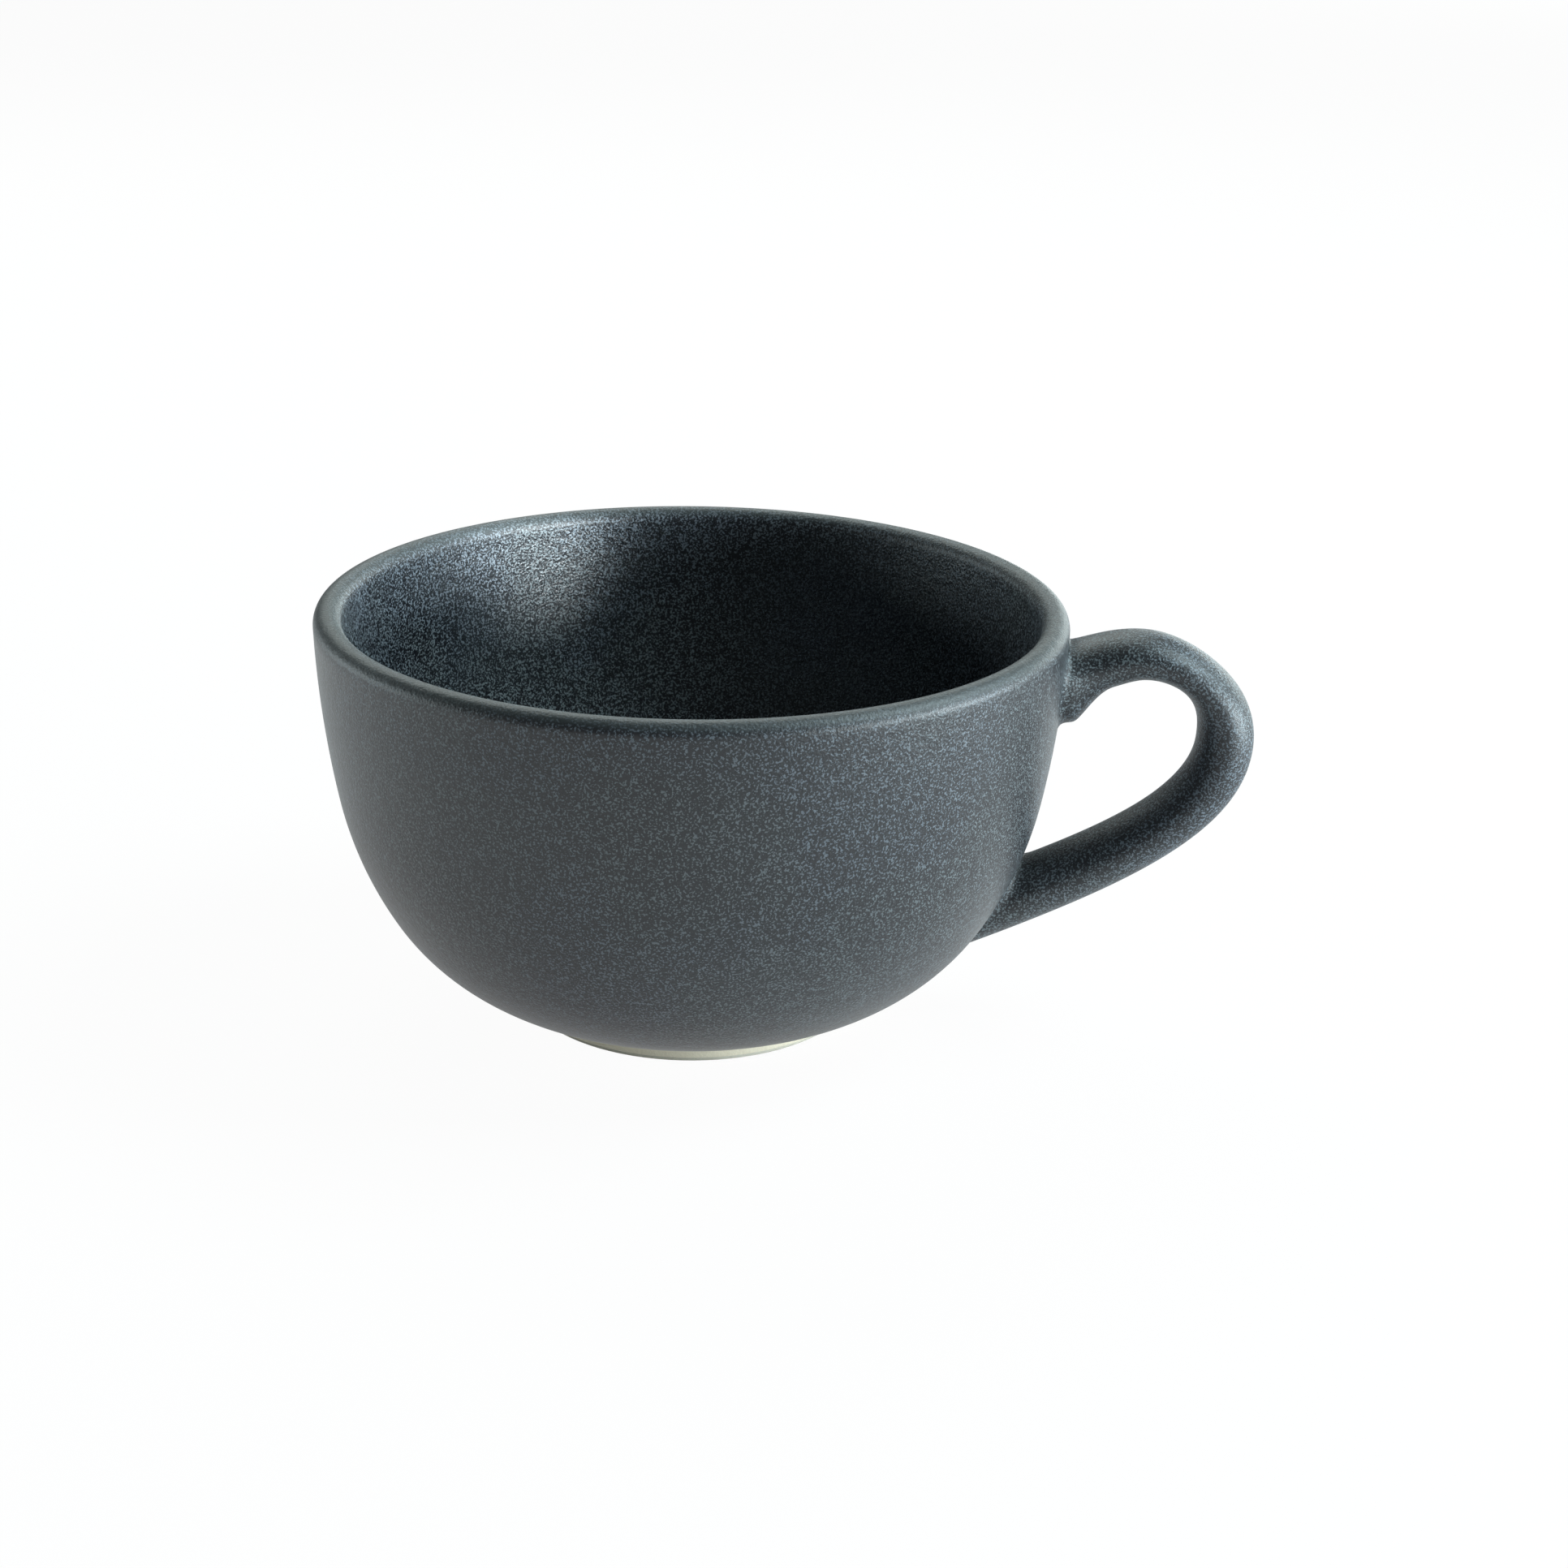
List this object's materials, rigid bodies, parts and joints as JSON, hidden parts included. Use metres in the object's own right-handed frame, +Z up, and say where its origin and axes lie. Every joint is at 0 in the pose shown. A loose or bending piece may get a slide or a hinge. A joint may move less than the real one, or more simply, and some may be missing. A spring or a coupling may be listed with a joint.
{
  "type": "coffee cup",
  "caption": "Wide, low stoneware coffee cup with one loop handle for a finger, standing on a turned foot ring, in a satin speckled glaze",
  "frame": {"origin": "On the bowl's axis, at the plane that the standing ring of the foot rests on", "axes": "+X from the bowl's axis to the handle, +Z up to the rim, +Y across the handle, right-handed"},
  "size_m": [0.1252, 0.1, 0.0568],
  "materials": {
    "stoneware": "fired stoneware clay, bare and matte, seen only on the standing ring",
    "slip": "the same clay as a fine fired slip",
    "slate_glaze": "satin slate blue-grey glaze with a fine light speckle"
  },
  "bodies": {
    "root": {"bowl": "stoneware", "handle": "stoneware", "upper_slip_joint": "slip", "lower_slip_joint": "slip", "inner_glaze": "slate_glaze", "outer_glaze": "slate_glaze", "handle_glaze": "slate_glaze", "foot_glaze": "slate_glaze"}
  },
  "joints": []
}
